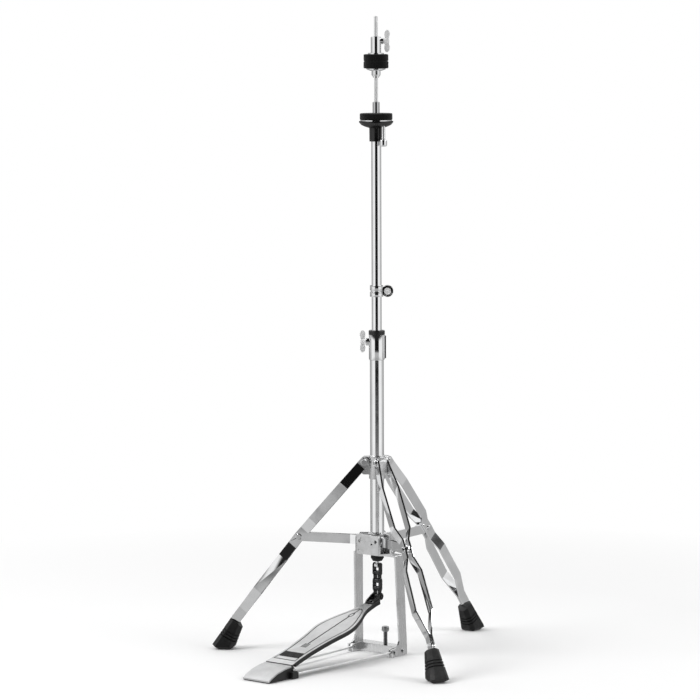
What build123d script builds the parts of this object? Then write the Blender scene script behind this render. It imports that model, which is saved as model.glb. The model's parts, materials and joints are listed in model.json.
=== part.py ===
from build123d import *
import math
import os

os.makedirs("parts", exist_ok=True)

# Hi-hat stand, millimetres. +Z up, the column stands on the origin, the pedal reaches towards -Y.

# ---------------------------------------------------------------- driving dimensions
ROD_R = 3.0
ROD_TIP_Z = 1024.9
CHAIN_PITCH = 12.7
CHAIN_TOP_Z = 143.0
CHAIN_BOTTOM_Z = CHAIN_TOP_Z - 4 * CHAIN_PITCH

LOWER_TUBE_R = 11.1
LOWER_TUBE_BORE_R = 9.5
LOWER_TUBE_Z = 166.0
LOWER_TUBE_TOP_Z = 517.0
UPPER_TUBE_R = 7.95
UPPER_TUBE_BORE_R = 6.35
UPPER_TUBE_Z = 330.0
UPPER_TUBE_TOP_Z = 846.0

HEAD_Z = 163.0
HEAD_TOP_Z = 195.0
STAY_PIVOT_R = 26.0
STAY_PIVOT_Z = 184.5
STAY_HEIGHT = 15.0
MID_R = 127.6
MID_Z = 187.3

HUB_Z = 284.0
HUB_TOP_Z = 322.0
HUB_BARREL_R = 13.0
HUB_PIVOT_R = 19.5
HUB_PIVOT_Z = 311.3
EAR_HALF = 6.6
STRIP_AT_HUB = 8.4
LEGS = {"left": -150.0, "right": -30.0, "rear": 90.0}
STRIP_THICK = 3.0
STRIP_WIDTH = 16.0
FOOT_JOIN = (232.0, 50.0)

SEAT_FELT_Z = 860.2
SEAT_FELT_TOP_Z = 870.8
SLEEVE_TOP_Z = 889.0

BOARD_SLOPE = 15.5
BOARD_START = (0.0, -246.0, 21.0)
BOARD_LENGTH = 250.0
BORDER_WIDTH = 2.0
HINGE_Y = -242.0
HINGE_Z = 13.0
HEEL_HALF = 26.6


def heading(azimuth):
    angle = math.radians(azimuth)
    return (math.cos(angle), math.sin(angle), 0.0)


def radial_plane(azimuth, radius=0.0, height=0.0):
    """Plane holding the radial direction (local x) and +Z (local y)."""
    dx, dy, _ = heading(azimuth)
    return Plane(origin=(radius * dx, radius * dy, height), x_dir=(dx, dy, 0), z_dir=(dy, -dx, 0))


def facing_plane(azimuth, radius=0.0, height=0.0):
    """Plane whose normal is the radial direction."""
    dx, dy, _ = heading(azimuth)
    return Plane(origin=(radius * dx, radius * dy, height), x_dir=(-dy, dx, 0), z_dir=(dx, dy, 0))


def save(solid, name):
    solid.label = name
    export_step(solid, f"parts/{name}.step")


# ---------------------------------------------------------------- column tubes
with BuildPart() as lower_tube:
    with BuildSketch(Plane.XY.offset(LOWER_TUBE_Z)):
        Circle(LOWER_TUBE_R)
        Circle(LOWER_TUBE_BORE_R, mode=Mode.SUBTRACT)
    extrude(amount=LOWER_TUBE_TOP_Z - LOWER_TUBE_Z)
    # clearance hole for the height wing bolt
    with BuildSketch(facing_plane(218.8, 0, 506.0)):
        Circle(3.2)
    extrude(amount=20, mode=Mode.SUBTRACT)
save(lower_tube.part, "lower_tube")

with BuildPart() as upper_tube:
    with BuildSketch(Plane.XY.offset(UPPER_TUBE_Z)):
        Circle(UPPER_TUBE_R)
        Circle(UPPER_TUBE_BORE_R, mode=Mode.SUBTRACT)
    extrude(amount=UPPER_TUBE_TOP_Z - UPPER_TUBE_Z)
save(upper_tube.part, "upper_tube")

# nylon bushing: a ring on top of the clamp and a sleeve inside the lower tube
with BuildPart() as height_bushing:
    with BuildSketch(Plane.XY.offset(LOWER_TUBE_TOP_Z)):
        Circle(13.0)
        Circle(8.05, mode=Mode.SUBTRACT)
    extrude(amount=6.8)
    top_rims = height_bushing.edges().filter_by(GeomType.CIRCLE).group_by(Axis.Z)[-1]
    fillet(top_rims.sort_by(SortBy.LENGTH)[-1], 1.2)
    with BuildSketch(Plane.XY.offset(470)):
        Circle(9.45)
        Circle(8.05, mode=Mode.SUBTRACT)
    extrude(amount=LOWER_TUBE_TOP_Z - 470)
    with BuildSketch(facing_plane(218.8, 0, 506.0)):
        Circle(3.2)
    extrude(amount=20, mode=Mode.SUBTRACT)
save(height_bushing.part, "height_bushing")

# collar over the top of the lower tube with the boss for the wing bolt
with BuildPart() as height_clamp:
    with BuildSketch(Plane.XY.offset(476)):
        Circle(12.6)
    extrude(amount=LOWER_TUBE_TOP_Z - 476)
    chamfer(height_clamp.edges().group_by(Axis.Z)[0], 1.1)
    with BuildSketch(facing_plane(218.8, 0, 506.0)):
        Circle(6.6)
    extrude(amount=17.3)
    with BuildSketch(radial_plane(38.8, 0, 0)):
        with Locations((13.2, 497)):
            Rectangle(3.4, 36)
    extrude(amount=3.5, both=True)
    with BuildSketch(Plane.XY.offset(470)):
        Circle(11.15)
    extrude(amount=60, mode=Mode.SUBTRACT)
    with BuildSketch(facing_plane(218.8, 0, 506.0)):
        Circle(3.1)
    extrude(amount=20, mode=Mode.SUBTRACT)
save(height_clamp.part, "height_clamp")

# ---------------------------------------------------------------- wing bolts
WING_BOLTS = {
    "height_wing_bolt": (218.8, 506.0, 8.3, 17.6),
    "clutch_wing_bolt": (35.0, 985.5, 3.3, 12.5),
}
for bolt_name, (azimuth, height, tip, seat) in WING_BOLTS.items():
    with BuildPart() as wing_bolt:
        with BuildSketch(facing_plane(azimuth, tip, height)):
            Circle(3.0)
        extrude(amount=seat - tip + 1)
        with BuildSketch(facing_plane(azimuth, seat, height)):
            Circle(5.2)
        extrude(amount=8.5, taper=12)
        with BuildSketch(radial_plane(azimuth, seat, height)):
            with Locations((5.2, 10.6), (5.2, -10.6)):
                Ellipse(4.4, 7.2)
            with Locations((5.0, 0)):
                Rectangle(6.2, 14)
        extrude(amount=1.5, both=True)
        fillet(wing_bolt.edges().filter_by(GeomType.ELLIPSE), 0.6)
    save(wing_bolt.part, bolt_name)

# ---------------------------------------------------------------- memory lock
LOCK_Z = 578.0
LOCK_TOP_Z = 595.7
LOCK_AZIMUTH = 38.8
LOCK_BOLT_R = 17.5
with BuildPart() as memory_lock:
    with BuildSketch(Plane.XY.offset(LOCK_Z)):
        Circle(10.6)
    extrude(amount=LOCK_TOP_Z - LOCK_Z)
    with BuildSketch(radial_plane(LOCK_AZIMUTH, 0, 586.9)):
        with Locations((LOCK_BOLT_R, 0)):
            Circle(9.2)
        with Locations((10.0, 0)):
            Rectangle(14, 13)
    extrude(amount=5.5, both=True)
    with BuildSketch(Plane.XY.offset(LOCK_Z + 7.2)):
        Circle(12.0)
        Circle(9.5, mode=Mode.SUBTRACT)
        lug_x, lug_y, _ = heading(LOCK_AZIMUTH)
        with Locations(Location((11 * lug_x, 11 * lug_y, 0), (0, 0, LOCK_AZIMUTH))):
            Rectangle(14, 13, mode=Mode.SUBTRACT)
    extrude(amount=3.2, mode=Mode.SUBTRACT)
    with BuildSketch(Plane.XY.offset(LOCK_Z - 5)):
        Circle(8.05)
    extrude(amount=40, mode=Mode.SUBTRACT)
    with BuildSketch(radial_plane(LOCK_AZIMUTH, 0, 586.9)):
        with Locations((18, 0)):
            Rectangle(26, 30)
    extrude(amount=0.7, both=True, mode=Mode.SUBTRACT)
    with BuildSketch(radial_plane(LOCK_AZIMUTH, LOCK_BOLT_R, 586.9)):
        Circle(2.6)
    extrude(amount=20, both=True, mode=Mode.SUBTRACT)
save(memory_lock.part, "memory_lock")

with BuildPart() as memory_lock_bolt:
    with BuildSketch(radial_plane(LOCK_AZIMUTH, LOCK_BOLT_R, 586.9)):
        Circle(2.5)
    extrude(amount=7.0, both=True)
    with BuildSketch(radial_plane(LOCK_AZIMUTH, LOCK_BOLT_R, 586.9).offset(5.6)):
        Circle(5.4)
    extrude(amount=2.6)
    with BuildSketch(radial_plane(LOCK_AZIMUTH, LOCK_BOLT_R, 586.9).offset(8.2)):
        Rectangle(4.4, 4.4)
    extrude(amount=5.0)
    with BuildSketch(radial_plane(LOCK_AZIMUTH, LOCK_BOLT_R, 586.9).offset(-5.6)):
        RegularPolygon(4.8, 6)
    extrude(amount=-3.2)
save(memory_lock_bolt.part, "memory_lock_bolt")

# ---------------------------------------------------------------- bottom cymbal seat
TILT_AZIMUTH = -10.0
TILT_SCREW_R = 17.2
TILT_PIVOT_R = 24.0
TILT_SCREW = (TILT_SCREW_R * heading(TILT_AZIMUTH)[0], TILT_SCREW_R * heading(TILT_AZIMUTH)[1])
with BuildPart() as seat_cup:
    with BuildSketch(Plane.XZ):
        with BuildLine():
            Polyline(
                (0, 826.2), (10.8, 826.2), (11.0, 847.5), (17.7, 849.6), (23.6, 852.3), (27.2, 856.4),
                (27.2, 858.5), (0, 858.5), close=True,
            )
        make_face()
    revolve(axis=Axis.Z)
    with BuildSketch(Plane.XY.offset(820)):
        Circle(8.0)
    extrude(amount=26, mode=Mode.SUBTRACT)
    with BuildSketch(Plane.XY.offset(840)):
        Circle(5.5)
    extrude(amount=30, mode=Mode.SUBTRACT)
    with BuildSketch(Plane.XY.offset(830)):
        with Locations(TILT_SCREW):
            Circle(3.1)
    extrude(amount=40, mode=Mode.SUBTRACT)
save(seat_cup.part, "seat_cup")

# metal sleeve the bottom cymbal is centred on; the part above the felt is a little larger
with BuildPart() as seat_sleeve:
    with BuildSketch(Plane.XY.offset(UPPER_TUBE_TOP_Z)):
        Circle(5.3)
    extrude(amount=SEAT_FELT_TOP_Z + 0.4 - UPPER_TUBE_TOP_Z)
    with BuildSketch(Plane.XY.offset(SEAT_FELT_TOP_Z + 0.4)):
        Circle(5.6)
    extrude(amount=SLEEVE_TOP_Z - SEAT_FELT_TOP_Z - 0.4)
    chamfer(seat_sleeve.edges().group_by(Axis.Z)[-1], 0.8)
    with BuildSketch(Plane.XY.offset(UPPER_TUBE_TOP_Z - 5)):
        Circle(3.6)
    extrude(amount=60, mode=Mode.SUBTRACT)
save(seat_sleeve.part, "seat_sleeve")

with BuildPart() as tilt_screw:
    with BuildSketch(Plane.XY.offset(829.0)):
        with Locations(TILT_SCREW):
            Circle(3.0)
    extrude(amount=858.3 - 829.0)
    with BuildSketch(Plane.XY.offset(818.6)):
        with Locations(TILT_SCREW):
            Circle(5.9)
    extrude(amount=11.2)
    fillet(tilt_screw.edges().filter_by(GeomType.CIRCLE).filter_by(lambda e: e.radius > 5), 2.6)
save(tilt_screw.part, "tilt_screw")

# washer under the felt, cut straight opposite the tilt screw and rounded there to rock on the cup
WASHER_Z = 858.8
WASHER_THICK = 1.4
rocking_edge = facing_plane(TILT_AZIMUTH, -TILT_PIVOT_R, WASHER_Z + WASHER_THICK / 2)
with BuildPart() as seat_washer:
    with BuildSketch(Plane.XY.offset(WASHER_Z)):
        Circle(25.0)
        Circle(7.75, mode=Mode.SUBTRACT)
    extrude(amount=WASHER_THICK)
    with BuildSketch(rocking_edge):
        Rectangle(20, 10)
    extrude(amount=-5, mode=Mode.SUBTRACT)
    with BuildSketch(Plane(origin=rocking_edge.origin, z_dir=rocking_edge.x_dir)):
        Circle(WASHER_THICK / 2)
    extrude(amount=6.5, both=True)
save(seat_washer.part, "seat_washer")

with BuildPart() as seat_felt:
    with BuildSketch(Plane.XY.offset(SEAT_FELT_Z)):
        Circle(26.2)
        Circle(7.75, mode=Mode.SUBTRACT)
    extrude(amount=SEAT_FELT_TOP_Z - SEAT_FELT_Z)
    fillet(seat_felt.edges().filter_by(GeomType.CIRCLE).filter_by(lambda e: e.radius > 20), 1.6)
save(seat_felt.part, "seat_felt")

# ---------------------------------------------------------------- clutch
with BuildPart() as clutch_barrel:
    with BuildSketch(Plane.XY.offset(966.6)):
        Circle(8.15)
    extrude(amount=26.1)
    chamfer(clutch_barrel.edges().group_by(Axis.Z)[-1], 1.0)
    with BuildSketch(Plane.XY.offset(927.5)):
        Circle(4.9)
    extrude(amount=40)
    with BuildSketch(facing_plane(35.0, 0, 985.5)):
        Circle(5.0)
    extrude(amount=11.5)
    with BuildSketch(Plane.XY.offset(920)):
        Circle(3.1)
    extrude(amount=80, mode=Mode.SUBTRACT)
    with BuildSketch(facing_plane(35.0, 0, 985.5)):
        Circle(3.1)
    extrude(amount=20, mode=Mode.SUBTRACT)
save(clutch_barrel.part, "clutch_barrel")

with BuildPart() as clutch_washers:
    with BuildSketch(Plane.XY.offset(964.9)):
        Circle(12.5)
        Circle(5.2, mode=Mode.SUBTRACT)
    extrude(amount=1.6)
    with BuildSketch(Plane.XZ):
        with BuildLine():
            Polyline((5.2, 938.6), (9.5, 938.6), (15.2, 940.4), (15.2, 941.7), (5.2, 941.7), close=True)
        make_face()
    revolve(axis=Axis.Z)
save(clutch_washers.part, "clutch_washers")

with BuildPart() as clutch_felts:
    for felt_z in (942.1, 953.7):
        with BuildSketch(Plane.XY.offset(felt_z)):
            Circle(20.0)
            Circle(5.4, mode=Mode.SUBTRACT)
        extrude(amount=10.9)
    fillet(clutch_felts.edges().filter_by(GeomType.CIRCLE).filter_by(lambda e: e.radius > 15), 1.6)
save(clutch_felts.part, "clutch_felts")

with BuildPart() as clutch_nut:
    with BuildSketch(Plane.XZ):
        with BuildLine():
            Polyline((5.0, 929.4), (5.8, 929.4), (7.4, 932.5), (7.4, 938.2), (5.0, 938.2), close=True)
        make_face()
    revolve(axis=Axis.Z)
    with BuildSketch(Plane.XY.offset(929.4)):
        with PolarLocations(7.9, 12):
            Circle(1.0)
    extrude(amount=8.8, mode=Mode.SUBTRACT)
save(clutch_nut.part, "clutch_nut")

# ---------------------------------------------------------------- pull rod, spring, chain
with BuildPart() as pull_rod:
    with BuildSketch(Plane.XY.offset(CHAIN_TOP_Z + 2)):
        Circle(ROD_R)
    extrude(amount=ROD_TIP_Z - CHAIN_TOP_Z - 2)
    chamfer(pull_rod.edges().group_by(Axis.Z)[-1], 0.8)
    with BuildSketch(Plane.YZ.offset(-3.4)):
        with Locations((0, CHAIN_TOP_Z)):
            Circle(4.2)
    extrude(amount=6.8)
    with BuildSketch(Plane.YZ.offset(-5)):
        with Locations((0, CHAIN_TOP_Z)):
            Circle(2.05)
    extrude(amount=10, mode=Mode.SUBTRACT)
save(pull_rod.part, "pull_rod")

SPRING_Z = 167.0
SPRING_TOP_Z = 268.0
with BuildPart() as spring_collar:
    with BuildSketch(Plane.XY.offset(SPRING_TOP_Z + 0.4)):
        Circle(8.6)
        Circle(ROD_R + 0.02, mode=Mode.SUBTRACT)
    extrude(amount=5.5)
save(spring_collar.part, "spring_collar")

with BuildPart() as return_spring:
    with BuildLine() as coil:
        Helix(pitch=8.2, height=SPRING_TOP_Z - SPRING_Z - 2.4, radius=6.6, center=(0, 0, SPRING_Z + 1.2))
    with BuildSketch(Plane(origin=coil.line @ 0, z_dir=coil.line % 0)):
        Circle(0.9)
    sweep(path=coil.line, is_frenet=True)
save(return_spring.part, "return_spring")

# chain: outer links keep their pins, inner links keep their rollers
with BuildPart() as chain_outer_links:
    for upper in (0, 2):
        top = CHAIN_TOP_Z - upper * CHAIN_PITCH
        for side in (-6.8, 5.4):
            with BuildSketch(Plane.YZ.offset(side)):
                with Locations((0, top - CHAIN_PITCH / 2)):
                    SlotCenterToCenter(CHAIN_PITCH, 8.6, rotation=90)
            extrude(amount=1.4)
        with BuildSketch(Plane.YZ.offset(-7.3)):
            with Locations((0, top), (0, top - CHAIN_PITCH)):
                Circle(1.95)
        extrude(amount=14.6)
    with BuildSketch(Plane.YZ.offset(-8.4)):
        with Locations((0, CHAIN_BOTTOM_Z)):
            Circle(1.95)
    extrude(amount=16.8)
save(chain_outer_links.part, "chain_outer_links")

with BuildPart() as chain_inner_links:
    for upper in (1, 3):
        top = CHAIN_TOP_Z - upper * CHAIN_PITCH
        for side in (-5.1, 3.7):
            with BuildSketch(Plane.YZ.offset(side)):
                with Locations((0, top - CHAIN_PITCH / 2)):
                    SlotCenterToCenter(CHAIN_PITCH, 8.6, rotation=90)
            extrude(amount=1.4)
        with BuildSketch(Plane.YZ.offset(-3.7)):
            with Locations((0, top), (0, top - CHAIN_PITCH)):
                Circle(3.9)
        extrude(amount=7.4)
        with BuildSketch(Plane.YZ.offset(-6)):
            with Locations((0, top), (0, top - CHAIN_PITCH)):
                Circle(2.05)
        extrude(amount=12, mode=Mode.SUBTRACT)
save(chain_inner_links.part, "chain_inner_links")

# ---------------------------------------------------------------- frame head casting
with BuildPart() as frame_head:
    with BuildSketch(Plane.XY.offset(HEAD_Z)):
        with BuildLine():
            Polyline(
                (-25.2, -25.8), (25.2, -25.8), (36.0, -7.5), (12.0, 34.0), (-12.0, 34.0),
                (-36.0, -7.5), close=True,
            )
        make_face()
    extrude(amount=3)
    with BuildSketch(Plane.XY.offset(HEAD_Z)):
        Circle(15.0)
    extrude(amount=HEAD_TOP_Z - HEAD_Z)
    for azimuth in LEGS.values():
        for side in (-9.5, 9.5):
            with BuildSketch(radial_plane(azimuth).offset(side)):
                with BuildLine():
                    Polyline(
                        (9, HEAD_Z), (34, HEAD_Z), (34, 190), (29, HEAD_TOP_Z), (9, HEAD_TOP_Z), close=True,
                    )
                make_face()
            extrude(amount=1.5, both=True)
    with BuildSketch(Plane.XZ.offset(22.8)):
        with Locations((0, (HEAD_Z + HEAD_TOP_Z) / 2)):
            RectangleRounded(48.4, HEAD_TOP_Z - HEAD_Z, 3)
    extrude(amount=3)
    with BuildSketch(Plane.XZ.offset(25.2)):
        with Locations((3, 187.5)):
            RectangleRounded(34, 7.5, 2)
        with Locations((-12, 169.5)):
            RectangleRounded(14, 3.6, 1.5)
    extrude(amount=2, mode=Mode.SUBTRACT)
    with BuildSketch(Plane.XZ.offset(20)):
        with Locations((8.5, 180)):
            Circle(1.9)
    extrude(amount=8, mode=Mode.SUBTRACT)
    # stay pivot holes, drilled through ears and front plate alike
    for azimuth in LEGS.values():
        with BuildSketch(radial_plane(azimuth, STAY_PIVOT_R, STAY_PIVOT_Z)):
            Circle(3.05)
        extrude(amount=15, both=True, mode=Mode.SUBTRACT)
    with BuildSketch(Plane.XY.offset(LOWER_TUBE_Z)):
        Circle(LOWER_TUBE_R + 0.05)
    extrude(amount=60, mode=Mode.SUBTRACT)
    with BuildSketch(Plane.XY.offset(HEAD_Z - 5)):
        Circle(4.0)
        with Locations((25, 5), (-25, 5)):
            Circle(2.5)
    extrude(amount=20, mode=Mode.SUBTRACT)
save(frame_head.part, "frame_head")

# ---------------------------------------------------------------- frame below the head
STRAP_TOP_Z = 163.0
UPRIGHT_TOP_X = 41.8
UPRIGHT_BASE_X = 45.8
UPRIGHT_LEAN = math.degrees(math.atan((UPRIGHT_BASE_X - UPRIGHT_TOP_X) / 160))
with BuildPart() as frame_strap:
    with BuildSketch(Plane.XY.offset(160)):
        with Locations((0, 2.6)):
            Rectangle(2 * UPRIGHT_TOP_X + 3, 20)
        Circle(5.2, mode=Mode.SUBTRACT)
        with Locations((25, 5), (-25, 5)):
            Circle(2.5, mode=Mode.SUBTRACT)
    extrude(amount=3)
    fillet(frame_strap.edges().filter_by(Axis.Y).group_by(Axis.Z)[-1], 2.4)
    for side in (-1, 1):
        lean = math.radians(UPRIGHT_LEAN) * side
        upright = Plane(
            origin=(side * UPRIGHT_BASE_X, 0, 0), x_dir=(0, 1, 0), z_dir=(math.cos(lean), 0, math.sin(lean))
        )
        with BuildSketch(upright):
            with BuildLine():
                Polyline(
                    (-19, 0), (17, 0), (17.5, 8), (12.6, 161.0), (-7.4, 161.0), (-1.6, 24), (-4.5, 17.5),
                    (-10, 13.5), (-19, 12), close=True,
                )
            make_face()
            with Locations((-12.6, 6.5), (8, 6.5)):
                Circle(2.55, mode=Mode.SUBTRACT)
        extrude(amount=1.5, both=True)
    # level the bottoms with the floor
    with BuildSketch(Plane.XY.offset(-5)):
        Rectangle(200, 200)
    extrude(amount=5, mode=Mode.SUBTRACT)
save(frame_strap.part, "frame_strap")

with BuildPart() as base_bar:
    with BuildSketch(Plane.XY.offset(10.2)):
        with Locations((0, 10.5)):
            Rectangle(87.6, 22)
        with Locations((11.5, 6)):
            Circle(3.1, mode=Mode.SUBTRACT)
    extrude(amount=2.8)
    with BuildSketch(Plane.XZ.offset(0.5)):
        with BuildLine():
            Polyline((-37, 0), (28, 0), (37, 6), (37, 13), (-37, 13), close=True)
        make_face()
    extrude(amount=-2.8)
    with BuildSketch(Plane.XZ.offset(-21.5)):
        with Locations((0, 6.5)):
            Rectangle(74, 13)
    extrude(amount=2.8)
    for side in (-1, 1):
        # fork cheeks that take the radius rod between them and the upright
        with BuildSketch(Plane.YZ.offset(side * 36.0)):
            with BuildLine():
                Polyline((-19, 0), (3, 0), (3, 13), (-10, 12.4), (-19, 11.5), close=True)
            make_face()
            with Locations((-12.6, 6.5)):
                Circle(2.55, mode=Mode.SUBTRACT)
        extrude(amount=side * 2.4)
        with BuildSketch(Plane.YZ.offset(side * 43.8)):
            with Locations((11, 6.5)):
                Rectangle(14, 13)
            with Locations((8, 6.5)):
                Circle(2.55, mode=Mode.SUBTRACT)
        extrude(amount=-side * 2.4)
save(base_bar.part, "base_bar")

# rivets: two hold the strap to the head, four pins hold the base bar and the radius rods
with BuildPart() as frame_rivets:
    for x in (-25, 25):
        with BuildSketch(Plane.XY.offset(158.4)):
            with Locations((x, 5)):
                Circle(4.6)
        extrude(amount=1.6)
        with BuildSketch(Plane.XY.offset(160)):
            with Locations((x, 5)):
                Circle(2.45)
        extrude(amount=6)
        with BuildSketch(Plane.XY.offset(166)):
            with Locations((x, 5)):
                Circle(3.2)
        extrude(amount=1.6)
    for side in (-1, 1):
        for y, inner in ((-12.6, 35.4), (8, 41.2)):
            with BuildSketch(Plane.YZ.offset(side * inner)):
                with Locations((y, 6.5)):
                    Circle(2.45)
            extrude(amount=side * (48.4 - inner))
            with BuildSketch(Plane.YZ.offset(side * 47.5)):
                with Locations((y, 6.5)):
                    Circle(3.9)
            extrude(amount=side * 1.8)
save(frame_rivets.part, "frame_rivets")

# threaded anchor screw through the base bar
with BuildPart() as anchor_bolt:
    with BuildSketch(Plane.XY.offset(2.5)):
        with Locations((11.5, 6)):
            Circle(3.0)
    extrude(amount=34)
    chamfer(anchor_bolt.edges().group_by(Axis.Z)[0], 1.6)
    with BuildSketch(Plane.XY.offset(34.5)):
        with Locations((11.5, 6)):
            Circle(5.9)
    extrude(amount=9)
    fillet(anchor_bolt.edges().filter_by(GeomType.CIRCLE).filter_by(lambda e: e.radius > 5.5), 2.4)
save(anchor_bolt.part, "anchor_bolt")

# rubber bump cup under the strap, around the pull rod
with BuildPart() as lower_bushing:
    with BuildSketch(Plane.XZ):
        with BuildLine():
            Polyline(
                (3.8, 150.2), (7.6, 150.2), (10.6, 155), (10.6, 158.2), (10.6, 160), (3.8, 160), close=True,
            )
        make_face()
    revolve(axis=Axis.Z)
    with BuildSketch(Plane.XY.offset(160)):
        Circle(5.1)
        Circle(3.8, mode=Mode.SUBTRACT)
    extrude(amount=2.9)
save(lower_bushing.part, "lower_bushing")

# ---------------------------------------------------------------- pedal: heel
ROD_HEEL = (30.0, -248.0, 6.5)
ROD_BASE = (41.2, -12.6, 6.5)
with BuildPart() as heel_base:
    with BuildSketch(Plane.YZ.offset(-HEEL_HALF)):
        with BuildLine():
            Polyline(
                (-300, 0), (-300, 1.8), (-294, 5.4), (-280, 11.4), (-262, 15.4), (-247, 17.2), (-246.6, 17.2),
                (-246.6, 0), close=True,
            )
        make_face()
    extrude(amount=2 * HEEL_HALF)
    # weight-saving pocket underneath
    with BuildSketch(Plane.XY):
        with Locations((0, -262)):
            RectangleRounded(42, 22, 3)
    extrude(amount=9, mode=Mode.SUBTRACT)
    for side in (-1, 1):
        # hinge knuckles at the corners
        with BuildSketch(Plane.YZ.offset(side * 19.0)):
            with BuildLine():
                Polyline(
                    (-246.6, 0), (-238.5, 0), (-238.0, HINGE_Z), (-242.0, HINGE_Z + 4.0),
                    (-246.6, 16.6), close=True,
                )
            make_face()
        extrude(amount=side * (HEEL_HALF - 19.0))
        # lugs that hold the radius rods
        with BuildSketch(Plane.YZ.offset(side * HEEL_HALF)):
            with BuildLine():
                Polyline((-252, 0), (-238, 0), (-238, 9), (-242, 12), (-252, 10), close=True)
            make_face()
        extrude(amount=side * 6.6)
    with BuildSketch(Plane.YZ.offset(-40)):
        with Locations((HINGE_Y, HINGE_Z)):
            Circle(2.05)
    extrude(amount=80, mode=Mode.SUBTRACT)
    for side in (-1, 1):
        start = Vector(side * ROD_HEEL[0], ROD_HEEL[1], ROD_HEEL[2])
        end = Vector(side * ROD_BASE[0], ROD_BASE[1], ROD_BASE[2])
        with BuildSketch(Plane(origin=start, z_dir=end - start)):
            Circle(2.05)
        extrude(amount=20, mode=Mode.SUBTRACT)
save(heel_base.part, "heel_base")

with BuildPart() as heel_plate:
    with BuildSketch(Plane.YZ.offset(-HEEL_HALF)):
        with BuildLine():
            Polyline(
                (-301.6, 1.2), (-300.0, 1.2), (-300, 1.8), (-294, 5.4), (-280, 11.4),
                (-262, 15.4), (-247.4, 17.2),
                (-247.4, 19.9), (-262, 18.1), (-280.6, 13.9), (-295.2, 7.7), (-301.6, 3.6), close=True,
            )
        make_face()
    extrude(amount=2 * HEEL_HALF)
save(heel_plate.part, "heel_plate")

with BuildPart() as hinge_pin:
    with BuildSketch(Plane.YZ.offset(-HEEL_HALF - 1)):
        with Locations((HINGE_Y, HINGE_Z)):
            Circle(1.95)
    extrude(amount=2 * HEEL_HALF + 2)
save(hinge_pin.part, "hinge_pin")

with BuildPart() as radius_rods:
    for side in (-1, 1):
        start = Vector(side * ROD_HEEL[0], ROD_HEEL[1], ROD_HEEL[2])
        end = Vector(side * ROD_BASE[0], ROD_BASE[1], ROD_BASE[2])
        with BuildSketch(Plane(origin=start, z_dir=end - start)):
            Circle(2.0)
        extrude(amount=(end - start).length - 4.0)
        with BuildSketch(Plane.YZ.offset(side * ROD_BASE[0] - 2)):
            with Locations((ROD_BASE[1], ROD_BASE[2])):
                Circle(5.2)
        extrude(amount=4)
        with BuildSketch(Plane.YZ.offset(side * ROD_BASE[0] - 4)):
            with Locations((ROD_BASE[1], ROD_BASE[2])):
                Circle(2.55)
        extrude(amount=8, mode=Mode.SUBTRACT)
save(radius_rods.part, "radius_rods")

# ---------------------------------------------------------------- pedal: footboard
board = Plane(
    origin=BOARD_START, x_dir=(1, 0, 0),
    z_dir=(0, -math.sin(math.radians(BOARD_SLOPE)), math.cos(math.radians(BOARD_SLOPE))),
)
# half width against distance from the heel, for the board's edge and for its engraved border
OUTLINE = [
    (27.0, 0), (24.6, 40), (26.2, 75), (30.6, 110), (34.6, 140), (28.6, 168), (20.0, 190), (13.2, 206),
    (9.8, 222), (9.5, BOARD_LENGTH),
]
INSET = [
    (22.6, 13), (20.6, 42), (22.4, 77), (26.8, 111), (30.4, 139), (24.4, 168), (15.8, 190),
    (9.0, 204), (3.0, 211),
]


def board_outline(points, shrink=0.0):
    """Closed outline of the footboard, symmetric about its centre line, drawn inwards by shrink."""
    right = [(x - shrink, s) for x, s in points]
    right[0] = (right[0][0], right[0][1] + shrink)
    right[-1] = (right[-1][0], right[-1][1] - shrink)
    spline_right = Spline(*right)
    spline_left = Spline(*[(-x, s) for x, s in right])
    Line(spline_left @ 0, spline_right @ 0)
    Line(spline_left @ 1, spline_right @ 1)


with BuildPart() as footboard:
    with BuildSketch(board):
        with BuildLine():
            board_outline(OUTLINE)
        make_face()
    extrude(amount=-2.8)
    # engraved border following the outline
    with BuildSketch(board):
        with BuildLine():
            board_outline(INSET)
        make_face()
        with BuildLine():
            board_outline(INSET, BORDER_WIDTH)
        make_face(mode=Mode.SUBTRACT)
    extrude(amount=-0.7, mode=Mode.SUBTRACT)
    # centre rib groove with a ring at the toe end
    with BuildSketch(board):
        with Locations((0, 130)):
            Rectangle(2.6, 112)
        with Locations((0, 186)):
            Ellipse(4.4, 8)
            Ellipse(2.2, 5, mode=Mode.SUBTRACT)
        with Locations((0, 201)):
            Rectangle(2.0, 16)
    extrude(amount=-0.7, mode=Mode.SUBTRACT)
    # lower end of the centre groove splits into short bars
    with BuildSketch(board):
        for bar in (-4.5, -1.5, 1.5, 4.5):
            with Locations((bar, 67)):
                Rectangle(1.8, 14)
    extrude(amount=-0.7, mode=Mode.SUBTRACT)
    # seat of the grip panel
    with BuildSketch(board):
        with Locations((0, 32)):
            RectangleRounded(39, 17, 1)
    extrude(amount=-0.8, mode=Mode.SUBTRACT)
    with BuildSketch(board):
        with Locations((0, 231)):
            Circle(1.6)
    extrude(amount=-1.0, mode=Mode.SUBTRACT)
save(footboard.part, "footboard")

with BuildPart() as grip_panel:
    with BuildSketch(board.offset(-0.8)):
        with Locations((0, 32)):
            RectangleRounded(39, 17, 1)
    extrude(amount=1.2)
    with BuildSketch(board.offset(0.4)):
        with GridLocations(3.2, 3.0, 11, 5):
            with Locations((0, 32)):
                Circle(0.8)
    extrude(amount=0.5)
save(grip_panel.part, "grip_panel")

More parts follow.
